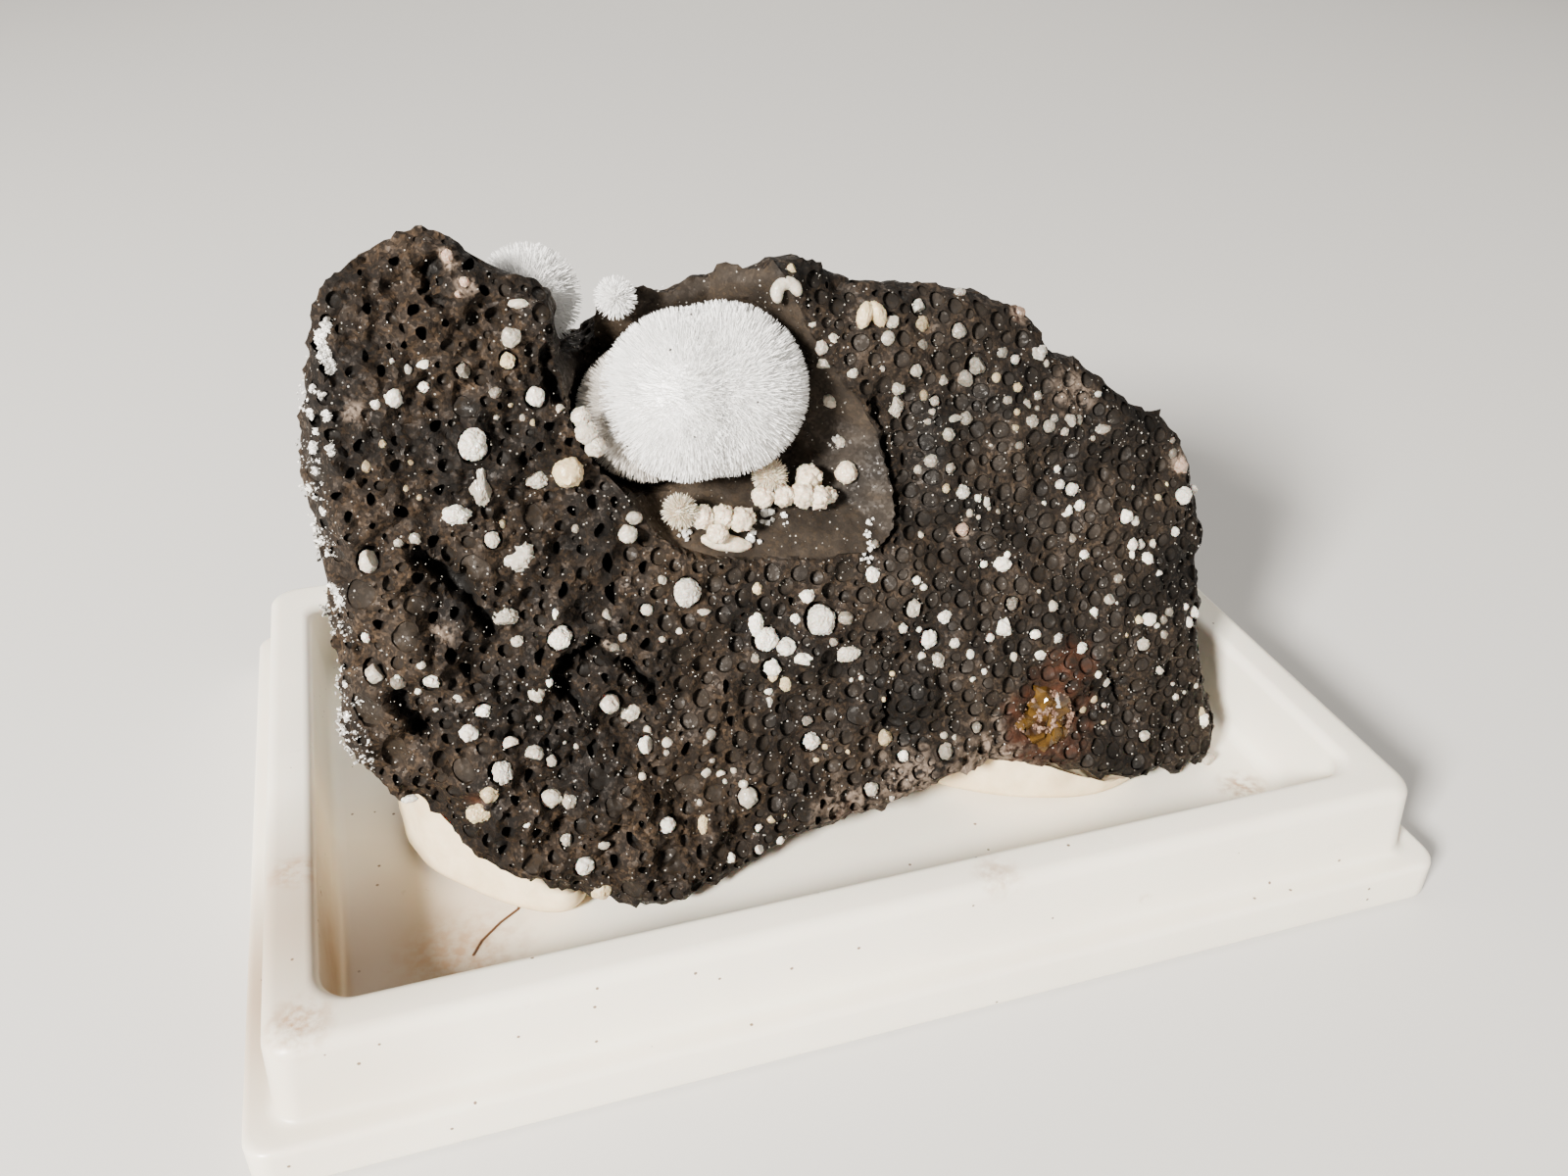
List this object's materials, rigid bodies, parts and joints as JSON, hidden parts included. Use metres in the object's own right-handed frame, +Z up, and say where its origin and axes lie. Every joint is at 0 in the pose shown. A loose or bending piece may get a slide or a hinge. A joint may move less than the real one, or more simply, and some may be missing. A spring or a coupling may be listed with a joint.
{
  "type": "mineral specimen in a display tray",
  "caption": "White natrolite needle balls and phillipsite beads on dark vesicular basalt, held by putty in a white display tray.",
  "frame": {"origin": "bottom centre of the bounding box, on the tray's flat underside", "axes": "+X along the tray's long side to the right, +Y to the back, +Z up; the rock's broken face looks to -Y and up"},
  "size_m": [0.075, 0.0504, 0.0424],
  "materials": {
    "tray": "satin",
    "putty": "matte",
    "basalt": "rough",
    "natrolite": "silky",
    "phillipsite": "granular",
    "amber": "glassy"
  },
  "bodies": {
    "root": {"tray": "tray", "putty_left": "putty", "putty_right": "putty", "basalt": "basalt", "natrolite_main_ball": "natrolite", "natrolite_back_ball": "natrolite", "natrolite_puff": "natrolite", "phillipsite_front_cluster": "phillipsite", "phillipsite_right_cluster": "phillipsite", "phillipsite_left_crust": "phillipsite", "phillipsite_cream_bead": "phillipsite", "phillipsite_facet_bead": "phillipsite", "phillipsite_rim_bead": "phillipsite", "phillipsite_horseshoe": "phillipsite", "phillipsite_double_bead": "phillipsite", "amber_grain": "amber"}
  },
  "joints": []
}
